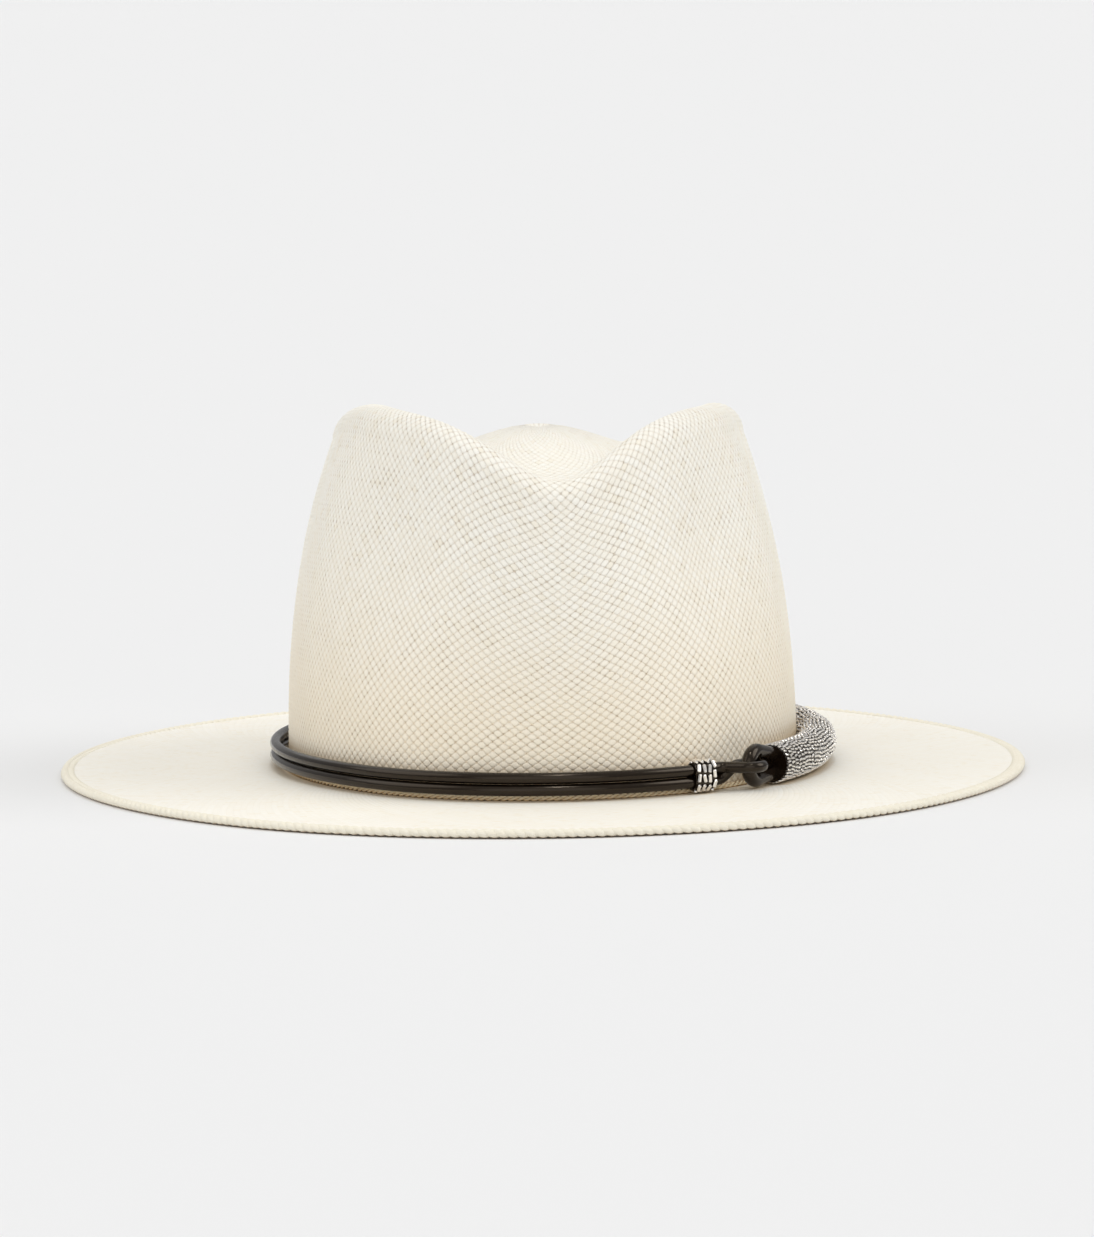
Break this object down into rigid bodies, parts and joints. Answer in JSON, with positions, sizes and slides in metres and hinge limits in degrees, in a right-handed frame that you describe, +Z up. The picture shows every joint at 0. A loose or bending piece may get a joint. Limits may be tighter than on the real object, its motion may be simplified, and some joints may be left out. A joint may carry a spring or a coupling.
{
  "type": "panama hat",
  "caption": "Cream woven straw panama hat with a teardrop crown and a flat brim, dressed with a doubled black leather cord, bead sliders and a bead-covered tube.",
  "frame": {"origin": "under the middle of the hat, on the plane the brim's edge rests on", "axes": "+Z up through the crown, -Y towards the front of the hat, +X towards the wearer's left, where the bead-covered tube is"},
  "size_m": [0.325, 0.36, 0.1261],
  "materials": {
    "straw": "woven straw, matte with a faint waxy sheen",
    "straw_shaded": "braided straw, matte",
    "sweatband_leather": "smooth, satin",
    "reed_fabric": "matte cloth",
    "thread": "twisted thread",
    "black_leather": "smooth round leather, satin",
    "silver_beads": "bright faceted metal"
  },
  "bodies": {
    "hat": {"straw_body": "straw", "brim_edge_braid": "straw", "crown_base_braid": "straw_shaded", "sweatband": "sweatband_leather", "sweatband_reed": "reed_fabric", "sweatband_stitches": "thread"},
    "hatband": {"band_cord": "black_leather", "bead_tube_core": "black_leather", "bead_tube_beads": "silver_beads", "front_loop": "black_leather", "rear_loop": "black_leather"},
    "front_slider": {"front_slider_sleeve": "black_leather", "front_slider_beads": "silver_beads"},
    "rear_slider": {"rear_slider_sleeve": "black_leather", "rear_slider_beads": "silver_beads"}
  },
  "joints": [
    {"name": "hatband_lift", "type": "slide", "parent": "hat", "child": "hatband", "axis": [0, 0, 1], "range_m": [0, 0.14]},
    {"name": "front_slider_travel", "type": "hinge", "parent": "hatband", "child": "front_slider", "pos_m": [0, -0.027, 0.0087], "axis": [0, 0, 1], "range_deg": [-12, 0.9]},
    {"name": "rear_slider_travel", "type": "hinge", "parent": "hatband", "child": "rear_slider", "pos_m": [0, 0.027, 0.0087], "axis": [0, 0, 1], "range_deg": [-0.9, 12]}
  ]
}
